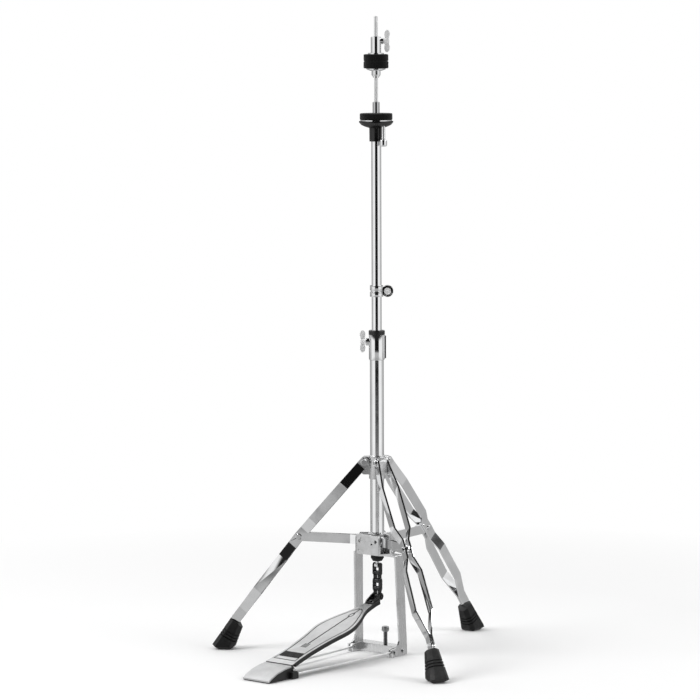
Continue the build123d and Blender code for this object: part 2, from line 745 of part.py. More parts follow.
with BuildPart() as footboard_frame:
    with BuildSketch(board.offset(-2.8)):
        with BuildLine():
            board_outline(OUTLINE, 0.4)
        make_face()
        with Locations((0, 0)):
            Rectangle(80, 18, mode=Mode.SUBTRACT)
    extrude(amount=-4.8)
    # hollow underside with cross ribs
    with BuildSketch(board.offset(-4.4)):
        with BuildLine():
            Spline(*[(x - 3.6, s) for x, s in OUTLINE[:8]])
            Spline(*[(-x + 3.6, s) for x, s in OUTLINE[:8]])
            Line((OUTLINE[7][0] - 3.6, OUTLINE[7][1]), (-OUTLINE[7][0] + 3.6, OUTLINE[7][1]))
            Line((OUTLINE[0][0] - 3.6, OUTLINE[0][1]), (-OUTLINE[0][0] + 3.6, OUTLINE[0][1]))
        make_face()
        with Locations((0, 0)):
            Rectangle(80, 26, mode=Mode.SUBTRACT)
        for rib in (50, 95, 140, 180):
            with Locations((0, rib)):
                Rectangle(80, 3, mode=Mode.SUBTRACT)
    extrude(amount=-8, mode=Mode.SUBTRACT)
    # hinge tongue and barrel
    with BuildSketch(Plane.YZ.offset(-18.6)):
        with Locations((HINGE_Y, HINGE_Z)):
            Circle(4.0)
        with BuildLine():
            Polyline(
                (HINGE_Y - 3.2, HINGE_Z + 2.4), (-244.9, 18.2), (-234.0, 21.2), (-234.0, 16.4),
                (HINGE_Y + 2.8, HINGE_Z - 2.8), close=True,
            )
        make_face()
    extrude(amount=37.2)
    with BuildSketch(Plane.YZ.offset(-40)):
        with Locations((HINGE_Y, HINGE_Z)):
            Circle(2.05)
    extrude(amount=80, mode=Mode.SUBTRACT)
    # keep the frame below the silver plate
    with BuildSketch(board.offset(-2.8)):
        with Locations((0, 60)):
            Rectangle(120, 160)
    extrude(amount=12, mode=Mode.SUBTRACT)
save(footboard_frame.part, "footboard_frame")

with BuildPart() as toe_clip:
    with BuildSketch(board):
        with Locations((0, 241)):
            Rectangle(15.6, 17)
    extrude(amount=1.6)
    for side in (-7.9, 5.9):
        with BuildSketch(Plane.YZ.offset(side)):
            with Locations((0, CHAIN_BOTTOM_Z)):
                Circle(5.6)
            with BuildLine():
                Polyline(
                    (-22, 84.0), (-4, 88.6), (1.5, 87.0), (-1.5, 97.6), (-8, 94.5), (-20, 87.2), close=True,
                )
            make_face()
        extrude(amount=2.0)
    with BuildSketch(Plane.YZ.offset(-12)):
        with Locations((0, CHAIN_BOTTOM_Z)):
            Circle(3.3)
    extrude(amount=24, mode=Mode.SUBTRACT)
    # trimmed flush with the top of the board behind the tip
    with BuildSketch(board):
        with Locations((0, BOARD_LENGTH - 40)):
            Rectangle(40, 80)
    extrude(amount=-12, mode=Mode.SUBTRACT)
    with BuildSketch(board):
        with Locations((0, 238)):
            Circle(2.6)
    extrude(amount=3.0)
save(toe_clip.part, "toe_clip")

# ---------------------------------------------------------------- hub
with BuildPart() as hub:
    with BuildSketch(Plane.XY.offset(HUB_Z)):
        Circle(HUB_BARREL_R)
    extrude(amount=HUB_TOP_Z - HUB_Z)
    fillet(hub.edges().group_by(Axis.Z)[-1], 1.0)
    with BuildSketch(facing_plane(150, 0, 290)):
        Circle(4.2)
    extrude(amount=17.6)
    for azimuth in LEGS.values():
        with BuildSketch(radial_plane(azimuth)):
            with BuildLine():
                Polyline((5, 291), (22, 291), (27, 297), (27, 315), (22, 320), (5, 320), close=True)
            make_face()
        extrude(amount=EAR_HALF, both=True)
    for azimuth in LEGS.values():
        pivot = radial_plane(azimuth, HUB_PIVOT_R, HUB_PIVOT_Z)
        with BuildSketch(pivot):
            Circle(3.05)
        extrude(amount=40, both=True, mode=Mode.SUBTRACT)
        # room for the strips to turn beside each ear, down to hanging straight
        for side in (-1, 1):
            with BuildSketch(pivot.offset(side * EAR_HALF)):
                SlotCenterPoint((0, -15), (0, 0), STRIP_WIDTH + 1)
            extrude(amount=side * 5, mode=Mode.SUBTRACT)
    with BuildSketch(Plane.XY.offset(HUB_Z - 5)):
        Circle(LOWER_TUBE_R + 0.08)
    extrude(amount=60, mode=Mode.SUBTRACT)
    with BuildSketch(facing_plane(150, 0, 290)):
        Circle(2.6)
    extrude(amount=30, mode=Mode.SUBTRACT)
save(hub.part, "hub")

with BuildPart() as hub_rivets:
    for azimuth in LEGS.values():
        pivot = radial_plane(azimuth, HUB_PIVOT_R, HUB_PIVOT_Z)
        with BuildSketch(pivot):
            Circle(2.95)
        extrude(amount=STRIP_AT_HUB + 2.3, both=True)
        for side in (-1, 1):
            with BuildSketch(pivot.offset(side * (STRIP_AT_HUB + 1.8))):
                Circle(5.6)
            extrude(amount=side * 2.6, taper=25)
save(hub_rivets.part, "hub_rivets")

with BuildPart() as hub_bolt:
    with BuildSketch(facing_plane(150, 11.5, 290)):
        Circle(2.5)
    extrude(amount=8)
    with BuildSketch(facing_plane(150, 18.0, 290)):
        Circle(4.0)
    extrude(amount=2.6)
    with BuildSketch(facing_plane(150, 20.6, 290)):
        Rectangle(4, 4)
    extrude(amount=5)
save(hub_bolt.part, "hub_bolt")

# ---------------------------------------------------------------- legs and stays
LEG_ANGLE = math.atan2(MID_R - HUB_PIVOT_R, HUB_PIVOT_Z - MID_Z)
LEG_TO_MID = math.hypot(MID_R - HUB_PIVOT_R, HUB_PIVOT_Z - MID_Z)
FOOT_ANGLE = math.radians(28.0)
FOOT_TANG = 32.0
TANG_WIDTH = 13.0
TANG_END = (FOOT_JOIN[0] + FOOT_TANG * math.sin(FOOT_ANGLE), FOOT_JOIN[1] - FOOT_TANG * math.cos(FOOT_ANGLE))
# centre line of one strip: distance along the leg, distance from the leg's middle plane
BOW = [
    (-12, STRIP_AT_HUB), (8, STRIP_AT_HUB), (50, 13.4), (128, 12.8), (150, 4.8), (182, 4.8),
    (206, 12.8), (275, 14.0), (318, 1.75), (385, 1.75),
]

# rubber foot: stations are measured along the tang from the point where it leaves the leg
FOOT_START = 4.0
FOOT_END = 60.0
FOOT_HALF_TOP = (11.5, 10.0)
FOOT_TAPER = 6.5
FOOT_OFFSET = 3.0
FOOT_CHAMFER = 6.0
FOOT_GROOVES = (23.0, 28.0, 33.0)
FOOT_GROOVE_WIDTH = 1.7
FOOT_GROOVE_DEPTH = 1.5


def foot_plane(azimuth, station):
    """Plane across the foot: local x radial and tilted with the tang, normal towards the floor."""
    fx, fy, _ = heading(azimuth)
    radius = FOOT_JOIN[0] + station * math.sin(FOOT_ANGLE)
    height = FOOT_JOIN[1] - station * math.cos(FOOT_ANGLE)
    return Plane(
        origin=(radius * fx, radius * fy, height),
        x_dir=(fx * math.cos(FOOT_ANGLE), fy * math.cos(FOOT_ANGLE), math.sin(FOOT_ANGLE)),
        z_dir=(fx * math.sin(FOOT_ANGLE), fy * math.sin(FOOT_ANGLE), -math.cos(FOOT_ANGLE)),
    )


def foot_corners(station, shrink=0.0):
    """Corners of the foot's eight-sided section at that station."""
    grown = (station - FOOT_START) * math.tan(math.radians(FOOT_TAPER)) - shrink
    half_x, half_y = FOOT_HALF_TOP[0] + grown, FOOT_HALF_TOP[1] + grown
    in_x, in_y = half_x - FOOT_CHAMFER, half_y - FOOT_CHAMFER
    corners = [
        (half_x, in_y), (in_x, half_y), (-in_x, half_y), (-half_x, in_y),
        (-half_x, -in_y), (-in_x, -half_y), (in_x, -half_y), (half_x, -in_y),
    ]
    return [(x - FOOT_OFFSET, y) for x, y in corners]


for leg, azimuth in LEGS.items():
    dx, dy, _ = heading(azimuth)
    side_view = radial_plane(azimuth)
    along = Vector(dx * math.sin(LEG_ANGLE), dy * math.sin(LEG_ANGLE), -math.cos(LEG_ANGLE))
    outward = Vector(dx * math.cos(LEG_ANGLE), dy * math.cos(LEG_ANGLE), math.sin(LEG_ANGLE))
    hub_point = Vector(HUB_PIVOT_R * dx, HUB_PIVOT_R * dy, HUB_PIVOT_Z)

    # two flat strips on edge, bowed apart and pinched at the stay and at the foot
    with BuildPart() as leg_strips:
        with BuildSketch(Plane(origin=hub_point, x_dir=along, z_dir=outward)):
            for side in (-1, 1):
                outer = [(s, side * (t + STRIP_THICK / 2)) for s, t in BOW]
                inner = [(s, side * (t - STRIP_THICK / 2)) for s, t in reversed(BOW)]
                with BuildLine():
                    Polyline(*outer, *inner, close=True)
                make_face()
        extrude(amount=60, both=True)
        with BuildSketch(side_view):
            path = [(HUB_PIVOT_R, HUB_PIVOT_Z), (MID_R, MID_Z), FOOT_JOIN, TANG_END]
            for (r0, z0), (r1, z1) in zip(path, path[1:]):
                width = TANG_WIDTH if (r1, z1) == TANG_END else STRIP_WIDTH
                SlotCenterPoint(((r0 + r1) / 2, (z0 + z1) / 2), (r1, z1), width)
            with Locations(*path[:2]):
                Circle(3.05, mode=Mode.SUBTRACT)
        extrude(amount=40, both=True, mode=Mode.INTERSECT)
    save(leg_strips.part, f"leg_strips_{leg}")

    # rivet heads on both sides of the pinched middle
    with BuildPart() as leg_rivets:
        middle = radial_plane(azimuth, MID_R, MID_Z)
        for side in (-1, 1):
            with BuildSketch(middle.offset(side * 3.4)):
                Circle(2.95)
            extrude(amount=side * 3.0)
            with BuildSketch(middle.offset(side * 6.4)):
                Circle(5.0)
            extrude(amount=side * 2.2, taper=25)
    save(leg_rivets.part, f"leg_rivets_{leg}")

    # grooved rubber foot, rounded off at the floor and pocketed for the pinched strips
    with BuildPart() as leg_foot:
        for station in (FOOT_START, FOOT_END):
            with BuildSketch(foot_plane(azimuth, station)):
                with BuildLine():
                    Polyline(*foot_corners(station), close=True)
                make_face()
        loft()
        with BuildSketch(side_view):
            with BuildLine():
                Polyline(
                    (242, 50.5), (228, 42.5), (222, 34), (228.5, 9), (241, 0), (259.5, 0), (274, 10),
                    close=True,
                )
            make_face()
        extrude(amount=30, both=True, mode=Mode.INTERSECT)
        with BuildSketch(facing_plane(azimuth)):
            with BuildLine():
                Polyline(
                    (-11, 0), (11, 0), (17, 6), (17, 36), (10.5, 53), (-10.5, 53), (-17, 36), (-17, 6),
                    close=True,
                )
            make_face()
        extrude(amount=300, mode=Mode.INTERSECT)
        for groove in FOOT_GROOVES:
            with BuildSketch(foot_plane(azimuth, groove)):
                Rectangle(80, 80)
            extrude(amount=FOOT_GROOVE_WIDTH, mode=Mode.SUBTRACT)
        with BuildSketch(foot_plane(azimuth, FOOT_GROOVES[0] - 1)):
            with BuildLine():
                Polyline(*foot_corners(FOOT_GROOVES[0] - 1, FOOT_GROOVE_DEPTH), close=True)
            make_face()
        extrude(amount=FOOT_GROOVES[-1] + FOOT_GROOVE_WIDTH - FOOT_GROOVES[0] + 2)
        with BuildSketch(side_view):
            tang_middle = ((FOOT_JOIN[0] + TANG_END[0]) / 2, (FOOT_JOIN[1] + TANG_END[1]) / 2)
            SlotCenterPoint(tang_middle, TANG_END, TANG_WIDTH + 0.2)
            with Locations(FOOT_JOIN):
                Circle(STRIP_WIDTH / 2 + 0.1)
        extrude(amount=3.3, both=True, mode=Mode.SUBTRACT)
    save(leg_foot.part, f"leg_foot_{leg}")

    # stay: a flat bar between the strips, flaring into the pivot drum held by the head casting
    with BuildPart() as stay:
        with BuildSketch(Plane(origin=(0, 0, STAY_PIVOT_Z), x_dir=(dx, dy, 0), z_dir=(0, 0, 1))):
            with BuildLine():
                Polyline(
                    (26, -7.2), (29, -7.2), (44, -3), (140, -3), (140, 3), (44, 3), (29, 7.2),
                    (26, 7.2), close=True,
                )
            make_face()
        extrude(amount=15, both=True)
        with BuildSketch(side_view):
            SlotCenterPoint(
                ((STAY_PIVOT_R + MID_R) / 2, (STAY_PIVOT_Z + MID_Z) / 2), (MID_R, MID_Z), STAY_HEIGHT
            )
            with Locations((STAY_PIVOT_R, STAY_PIVOT_Z)):
                Circle(3.1, mode=Mode.SUBTRACT)
            with Locations((MID_R, MID_Z)):
                Circle(3.0, mode=Mode.SUBTRACT)
        extrude(amount=20, both=True, mode=Mode.INTERSECT)
        with BuildSketch(side_view):
            with Locations((STAY_PIVOT_R, STAY_PIVOT_Z)):
                Circle(STAY_HEIGHT / 2)
                Circle(3.1, mode=Mode.SUBTRACT)
        extrude(amount=7.2, both=True)
    save(stay.part, f"stay_{leg}")

with BuildPart() as stay_pins:
    for azimuth in LEGS.values():
        with BuildSketch(radial_plane(azimuth, STAY_PIVOT_R, STAY_PIVOT_Z)):
            Circle(3.0)
        extrude(amount=10.9, both=True)
save(stay_pins.part, "stay_pins")
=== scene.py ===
import json
import math

import bmesh
import bpy
from mathutils import Euler, Matrix, Vector, noise


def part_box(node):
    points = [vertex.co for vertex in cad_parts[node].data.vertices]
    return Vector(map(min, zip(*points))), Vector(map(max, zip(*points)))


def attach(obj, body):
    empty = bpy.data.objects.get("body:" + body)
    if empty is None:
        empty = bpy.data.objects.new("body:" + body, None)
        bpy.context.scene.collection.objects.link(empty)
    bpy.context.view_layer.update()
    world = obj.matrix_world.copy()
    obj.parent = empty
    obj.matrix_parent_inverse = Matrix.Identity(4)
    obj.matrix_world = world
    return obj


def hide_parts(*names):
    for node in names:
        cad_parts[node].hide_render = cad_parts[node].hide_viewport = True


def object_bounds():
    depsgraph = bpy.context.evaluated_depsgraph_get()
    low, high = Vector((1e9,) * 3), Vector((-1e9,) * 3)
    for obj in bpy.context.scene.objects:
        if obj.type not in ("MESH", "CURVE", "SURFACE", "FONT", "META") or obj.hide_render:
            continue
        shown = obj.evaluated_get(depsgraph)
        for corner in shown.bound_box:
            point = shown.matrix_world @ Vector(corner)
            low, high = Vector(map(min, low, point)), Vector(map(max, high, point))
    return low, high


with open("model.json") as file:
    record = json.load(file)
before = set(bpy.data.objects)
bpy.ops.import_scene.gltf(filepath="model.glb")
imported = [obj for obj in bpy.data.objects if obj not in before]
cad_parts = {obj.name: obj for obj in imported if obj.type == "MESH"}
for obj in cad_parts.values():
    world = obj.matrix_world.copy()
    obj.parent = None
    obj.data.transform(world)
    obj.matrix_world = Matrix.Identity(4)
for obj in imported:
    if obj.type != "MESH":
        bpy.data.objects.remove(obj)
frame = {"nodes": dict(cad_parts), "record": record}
cad_low, cad_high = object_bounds()
nodes = frame["nodes"]
MM = 0.001
FELT_CORNER = 1.7 * MM
FELT_GRID = 1.2 * MM
# felt relief: waves per metre and height
FELT_LUMPS = (260, 0.16 * MM)
FELT_FIBRES = (1100, 0.13 * MM)
FELT_RIM_WAVE = (1.7, 0.25 * MM)

# ---------------------------------------------------------------- shading helpers


class Shader:
    """A Principled material with short calls for the nodes that this scene uses."""

    def __init__(self, name, colour, metallic=0.0, roughness=0.4, **sockets):
        self.material = bpy.data.materials.new(name)
        self.material.use_nodes = True
        self.tree = self.material.node_tree
        self.bsdf = self.tree.nodes["Principled BSDF"]
        self.bsdf.inputs["Base Color"].default_value = (*colour, 1.0)
        self.bsdf.inputs["Metallic"].default_value = metallic
        self.bsdf.inputs["Roughness"].default_value = roughness
        for socket, value in sockets.items():
            self.bsdf.inputs[socket.replace("_", " ")].default_value = value

    def node(self, kind, **settings):
        made = self.tree.nodes.new(kind)
        for name, value in settings.items():
            setattr(made, name, value)
        return made

    def link(self, source, target):
        self.tree.links.new(source, target)

    def place(self, scale=(1.0, 1.0, 1.0), rotation=(0.0, 0.0, 0.0)):
        """Object coordinates in metres, stretched by scale."""
        coordinates = self.node("ShaderNodeTexCoord")
        mapping = self.node("ShaderNodeMapping")
        mapping.inputs["Scale"].default_value = scale
        mapping.inputs["Rotation"].default_value = rotation
        self.link(coordinates.outputs["Object"], mapping.inputs["Vector"])
        return mapping.outputs["Vector"]

    def noise(self, per_metre, detail=4.0, rough=0.6, stretch=(1.0, 1.0, 1.0), rotation=(0.0, 0.0, 0.0)):
        texture = self.node("ShaderNodeTexNoise")
        texture.inputs["Scale"].default_value = per_metre
        texture.inputs["Detail"].default_value = detail
        texture.inputs["Roughness"].default_value = rough
        self.link(self.place(stretch, rotation), texture.inputs["Vector"])
        return texture.outputs["Fac"]

    def cells(self, per_metre, feature="F1"):
        texture = self.node("ShaderNodeTexVoronoi", feature=feature)
        texture.inputs["Scale"].default_value = per_metre
        self.link(self.place(), texture.inputs["Vector"])
        return texture.outputs["Distance"]

    def span(self, source, low, high, start=0.0, end=1.0):
        """source, from low to high, becomes start to end."""
        ranged = self.node("ShaderNodeMapRange")
        ranged.inputs["From Min"].default_value = low
        ranged.inputs["From Max"].default_value = high
        ranged.inputs["To Min"].default_value = start
        ranged.inputs["To Max"].default_value = end
        self.link(source, ranged.inputs["Value"])
        return ranged.outputs["Result"]

    def multiply(self, a, b):
        product = self.node("ShaderNodeMath", operation="MULTIPLY")
        self.link(a, product.inputs[0])
        self.link(b, product.inputs[1])
        return product.outputs["Value"]

    def colours(self, source, first, second):
        """source at 0 gives the first colour and at 1 the second."""
        mix = self.node("ShaderNodeMix", data_type="RGBA")
        mix.inputs[6].default_value = (*first, 1.0)
        mix.inputs[7].default_value = (*second, 1.0)
        self.link(source, mix.inputs["Factor"])
        self.link(mix.outputs[2], self.bsdf.inputs["Base Color"])

    def roughness(self, source, low, high):
        self.link(self.span(source, 0.3, 0.7, low, high), self.bsdf.inputs["Roughness"])

    def bump(self, height, depth, strength=1.0):
        """Adds relief of that depth in metres, over any added before."""
        relief = self.node("ShaderNodeBump")
        relief.inputs["Strength"].default_value = strength
        relief.inputs["Distance"].default_value = depth
        self.link(height, relief.inputs["Height"])
        normal = self.bsdf.inputs["Normal"]
        if normal.links:
            self.link(normal.links[0].from_socket, relief.inputs["Normal"])
        self.link(relief.outputs["Normal"], normal)


def grey(level, tint=0.0):
    """A neutral colour, a little towards blue by tint."""
    return (level - tint, level, level + tint)


# ---------------------------------------------------------------- materials


def chrome(name, wave=0.0, level=0.86):
    """Polished plating: faint wipe marks in the gloss, and a slow wave in flat pressed strip."""
    shader = Shader(name, grey(level, 0.005), metallic=1.0, roughness=0.06)
    smudge = shader.noise(38.0, detail=5.0, rough=0.65)
    shader.colours(shader.span(smudge, 0.3, 0.75), grey(level, 0.005), grey(level - 0.07, 0.004))
    shader.roughness(smudge, 0.035, 0.13)
    shader.bump(shader.noise(900.0, detail=2.0, stretch=(1.0, 1.0, 0.08)), 0.000004)
    if wave:
        shader.bump(shader.noise(14.0, detail=1.0), wave)
    return shader.material


def satin_steel(name, level=0.62, rough=0.3, stretch=(1.0, 1.0, 0.03)):
    """Plated steel with fine drawn lines along its length."""
    shader = Shader(name, grey(level, 0.004), metallic=1.0, roughness=rough)
    lines = shader.noise(1400.0, detail=3.0, stretch=stretch)
    cloud = shader.noise(30.0, detail=5.0)
    shader.colours(shader.span(cloud, 0.3, 0.75), grey(level, 0.004), grey(level * 0.8, 0.002))
    gloss = shader.multiply(lines, shader.span(cloud, 0.2, 0.8, 0.8, 1.2))
    shader.roughness(gloss, rough - 0.08, rough + 0.12)
    shader.bump(lines, 0.000012)
    return shader.material


def cast_metal(name, level=0.7, rough=0.34, metallic=1.0):
    """Silver casting: orange-peel skin with fine pits."""
    shader = Shader(name, grey(level, 0.003), metallic=metallic, roughness=rough)
    cloud = shader.noise(55.0, detail=6.0)
    shader.colours(shader.span(cloud, 0.3, 0.75), grey(level, 0.003), grey(level * 0.82, 0.002))
    shader.roughness(cloud, rough - 0.07, rough + 0.1)
    shader.bump(shader.noise(620.0, detail=4.0), 0.00004)
    shader.bump(shader.cells(380.0), 0.00002, 0.5)
    return shader.material


def moulded_plastic(name, level=0.006, rough=0.36):
    """Black moulding with a spark-eroded grain and lighter rubbed patches."""
    shader = Shader(name, grey(level), roughness=rough, Specular_IOR_Level=0.45)
    cloud = shader.noise(42.0, detail=5.0)
    shader.colours(shader.span(cloud, 0.35, 0.8), grey(level), grey(level * 2.2))
    shader.roughness(cloud, rough - 0.08, rough + 0.14)
    shader.bump(shader.cells(1500.0), 0.00003)
    return shader.material


def moulded_rubber(name, level=0.004, dust=0.02):
    """Black rubber: dull, finely grained, with dust caught in patches."""
    shader = Shader(name, grey(level), roughness=0.55, Specular_IOR_Level=0.4)
    dusty = shader.span(shader.noise(130.0, detail=8.0, rough=0.72), 0.48, 0.8)
    shader.colours(dusty, grey(level), grey(dust))
    shader.roughness(shader.noise(70.0), 0.42, 0.7)
    shader.bump(shader.noise(1700.0, detail=3.0), 0.00006)
    return shader.material


def wool_felt(name, level=0.004):
    """Pressed black wool: matted fibres, lint and a soft sheen."""
    shader = Shader(name, grey(level), roughness=0.95, Specular_IOR_Level=0.15)
    shader.bsdf.inputs["Sheen Weight"].default_value = 0.15
    shader.bsdf.inputs["Sheen Roughness"].default_value = 0.45
    fibres = shader.noise(1300.0, detail=6.0, rough=0.75, stretch=(1.0, 1.0, 2.4))
    shader.colours(shader.span(fibres, 0.45, 0.85), grey(level), grey(level * 3.0))
    shader.bump(fibres, 0.0005, 0.8)
    shader.bump(shader.noise(260.0, detail=4.0), 0.0006, 0.5)
    return shader.material


def oiled_steel(name, level=0.035, rough=0.3):
    """Dark oiled steel with a mottled film."""
    shader = Shader(name, grey(level), metallic=1.0, roughness=rough)
    film = shader.noise(420.0, detail=5.0)
    shader.colours(shader.span(film, 0.35, 0.75), grey(level), grey(level * 2.6))
    shader.roughness(film, rough - 0.1, rough + 0.14)
    shader.bump(film, 0.00003, 0.6)
    return shader.material


def brushed_board(name, level=0.6, rough=0.36):
    """Satin aluminium brushed along the board."""
    shader = Shader(name, grey(level, 0.003), metallic=1.0, roughness=rough)
    lines = shader.noise(1100.0, detail=4.0, stretch=(1.0, 0.02, 0.05))
    cloud = shader.noise(24.0, detail=6.0, rough=0.7)
    shader.colours(shader.span(cloud, 0.3, 0.8), grey(level, 0.003), grey(level * 0.78, 0.002))
    gloss = shader.multiply(lines, shader.span(cloud, 0.2, 0.8, 0.8, 1.25))
    shader.roughness(gloss, rough - 0.08, rough + 0.14)
    shader.bump(lines, 0.00002)
    return shader.material


BOARD_SLOPE = math.radians(15.5)
BOARD_START = (0.0, -0.246, 0.021)


def printed_board(name):
    """The brushed board with black paint in its engraved lines, and a painted dark reflection on its
    neck.
    """
    shader = Shader(name, grey(0.62, 0.003), metallic=1.0, roughness=0.34)
    lines = shader.noise(1100.0, detail=4.0, stretch=(1.0, 0.02, 0.05))
    cloud = shader.noise(24.0, detail=6.0, rough=0.7)
    height = shader.node("ShaderNodeVectorMath", operation="DOT_PRODUCT")
    height.inputs[1].default_value = (0.0, -math.sin(BOARD_SLOPE), math.cos(BOARD_SLOPE))
    shader.link(shader.place(), height.inputs[0])
    level = BOARD_START[2] * math.cos(BOARD_SLOPE) - BOARD_START[1] * math.sin(BOARD_SLOPE)
    bare = shader.span(height.outputs["Value"], level - 0.6 * MM, level - 0.2 * MM)
    shader.colours(shader.span(cloud, 0.3, 0.8), grey(0.66, 0.003), grey(0.5, 0.002))
    plain = shader.bsdf.inputs["Base Color"].links[0].from_socket
    # painted reflection: the neck's colour is multiplied darker towards the toe end, standing in for a
    # dark reflection
    along = shader.node("ShaderNodeSeparateXYZ")
    shader.link(shader.place(), along.inputs[0])
    painted_neck_reflection = shader.node("ShaderNodeMix", data_type="RGBA", blend_type="MULTIPLY")
    painted_neck_reflection.inputs[7].default_value = (*grey(0.3), 1.0)
    shader.link(shader.span(along.outputs["Y"], -0.062, -0.012), painted_neck_reflection.inputs["Factor"])
    shader.link(plain, painted_neck_reflection.inputs[6])
    metal_with_painted_reflection = painted_neck_reflection.outputs[2]
    paint = shader.node("ShaderNodeMix", data_type="RGBA")
    paint.inputs[6].default_value = (0.012, 0.012, 0.012, 1.0)
    shader.link(bare, paint.inputs["Factor"])
    shader.link(metal_with_painted_reflection, paint.inputs[7])
    shader.link(paint.outputs[2], shader.bsdf.inputs["Base Color"])
    shader.link(bare, shader.bsdf.inputs["Metallic"])
    gloss = shader.multiply(lines, shader.span(cloud, 0.2, 0.8, 0.8, 1.25))
    shader.roughness(gloss, 0.27, 0.48)
    shader.bump(lines, 0.00002)
    return shader.material


MATERIALS = {
    "printed_board": printed_board("printed_board"),
    "cast_wing": cast_metal("cast_wing", level=0.92, rough=0.42, metallic=0.2),
    "dark_chrome": chrome("dark_chrome", level=0.5),
    "gloss_black": moulded_plastic("gloss_black", level=0.004, rough=0.14),
    "chrome_tube": chrome("tube_chrome"),
    "chrome_strip": chrome("strip_chrome", wave=0.0012),
    "chrome_small": chrome("fitting_chrome", level=0.8),
    "rod_steel": satin_steel("rod_steel", level=0.92, rough=0.34),
    "frame_steel": satin_steel("frame_steel", level=0.7, rough=0.26),
    "cast_head": cast_metal("head_casting"),
    "board_metal": brushed_board("plate_aluminium"),
    "black_plastic": moulded_plastic("black_plastic"),
    "black_rubber": moulded_rubber("black_rubber"),
    "felt": wool_felt("wool_felt"),
    "chain_steel": oiled_steel("oiled_steel"),
    "spring_steel": satin_steel("spring_wire", level=0.4, rough=0.3, stretch=(0.1, 0.1, 1.0)),
}

# nodes whose finish differs from their slot's
OWN_FINISH = {
    "footboard": "printed_board", "seat_cup": "gloss_black", "clutch_wing_bolt": "cast_wing",
    "height_wing_bolt": "cast_wing", "memory_lock_bolt": "cast_wing", "seat_sleeve": "dark_chrome",
    "anchor_bolt": "spring_steel",
}
# rounding of sharp edges in millimetres, by the start of the node's name
EASED_EDGES = {
    "leg_strips": 0.35, "stay": 0.35, "frame_strap": 0.4, "base_bar": 0.4, "frame_head": 0.5, "hub": 0.4,
    "leg_foot": 0.9, "heel_plate": 0.3, "heel_base": 0.5, "height_clamp": 0.4, "memory_lock": 0.3,
}


def ease_edges(piece, radius):
    """Rounds the sharp edges a little, so that they catch the light."""
    weld = piece.modifiers.new("weld", "WELD")
    weld.merge_threshold = 0.02 * MM
    bevel = piece.modifiers.new("eased_edges", "BEVEL")
    bevel.width = radius * MM
    bevel.segments = 2
    bevel.limit_method = "ANGLE"
    bevel.angle_limit = math.radians(32)
    bevel.harden_normals = False


def dress_nodes():
    """Each CAD node takes its finish, with smooth rounds and eased edges."""
    for subpart in frame["record"]["subparts"]:
        name = subpart["node"]
        piece = nodes[name]
        piece.data.materials.clear()
        piece.data.materials.append(MATERIALS[OWN_FINISH.get(name, subpart["material_slot"])])
        for start, radius in EASED_EDGES.items():
            if name.startswith(start):
                ease_edges(piece, radius)


dress_nodes()

# ---------------------------------------------------------------- felts, threads and grip


def mesh_piece(name, build, material, body):
    """A new piece from a bmesh that build fills, riding on a body."""
    shape = bmesh.new()
    build(shape)
    mesh = bpy.data.meshes.new(name)
    shape.to_mesh(mesh)
    shape.free()
    mesh.shade_smooth()
    mesh.materials.append(MATERIALS[material])
    piece = bpy.data.objects.new(name, mesh)
    bpy.context.scene.collection.objects.link(piece)
    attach(piece, body)
    return piece


def ring_profile(inner, outer, low, high, corner):
    """Rounded rectangle, as (radius, height) points going round the section."""
    points = []
    corners = (
        (outer - corner, low + corner, -90), (outer - corner, high - corner, 0),
        (inner + corner, high - corner, 90), (inner + corner, low + corner, 180),
    )
    for radius, height, start in corners:
        for step in range(5):
            angle = math.radians(start + step * 22.5)
            points.append((radius + corner * math.cos(angle), height + corner * math.sin(angle)))
    dense = []
    for (r0, z0), (r1, z1) in zip(points, points[1:] + points[:1]):
        cuts = max(1, round(math.hypot(r1 - r0, z1 - z0) / FELT_GRID))
        dense += [(r0 + (r1 - r0) * k / cuts, z0 + (z1 - z0) * k / cuts) for k in range(cuts)]
    return dense


def felt_washer(name, inner, outer, low, high, body, seed):
    """A pressed felt ring: soft corners, a slightly wavy rim and matted lumps."""
    turns = 144
    middle = (low + high) / 2

    def build(shape):
        rings = []
        for step in range(turns):
            angle = 2 * math.pi * step / turns
            ring = []
            for radius, height in ring_profile(inner, outer, low, high, FELT_CORNER):
                place = Vector((radius * math.cos(angle), radius * math.sin(angle), height))
                lump = noise.noise(place * FELT_LUMPS[0] + Vector((seed, 0, 0))) * FELT_LUMPS[1]
                lump += noise.noise(place * FELT_FIBRES[0] + Vector((0, seed, 0))) * FELT_FIBRES[1]
                around = Vector((math.cos(angle), math.sin(angle), seed)) * FELT_RIM_WAVE[0]
                lump += noise.noise(around) * FELT_RIM_WAVE[1]
                rim = (radius - inner) / (outer - inner)
                place += Vector((math.cos(angle), math.sin(angle), 0)) * lump * rim
                place.z += (height - middle) / (high - middle) * lump * 0.35
                ring.append(shape.verts.new(place))
            rings.append(ring)
        count = len(rings[0])
        for step in range(turns):
            here, after = rings[step], rings[(step + 1) % turns]
            for k in range(count):
                shape.faces.new((here[k], after[k], after[(k + 1) % count], here[(k + 1) % count]))

    return mesh_piece(name, build, "felt", body)


def set_felts():
    low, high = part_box("seat_felt")
    rim = high.x - 0.2 * MM
    felt = felt_washer("seat_felt_pad", 7.75 * MM, rim, low.z + 0.05 * MM, high.z, "seat", 3.0)
    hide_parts("seat_felt")
    low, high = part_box("clutch_felts")
    middle = (low.z + high.z) / 2
    stack = (("lower", low.z, middle - 0.05 * MM), ("upper", middle + 0.05 * MM, high.z))
    for seed, (which, bottom, top) in enumerate(stack):
        name = f"clutch_felt_{which}"
        felt = felt_washer(name, 5.4 * MM, high.x - 0.2 * MM, bottom, top, "clutch", 7.0 + 4 * seed)
        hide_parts("clutch_felts")


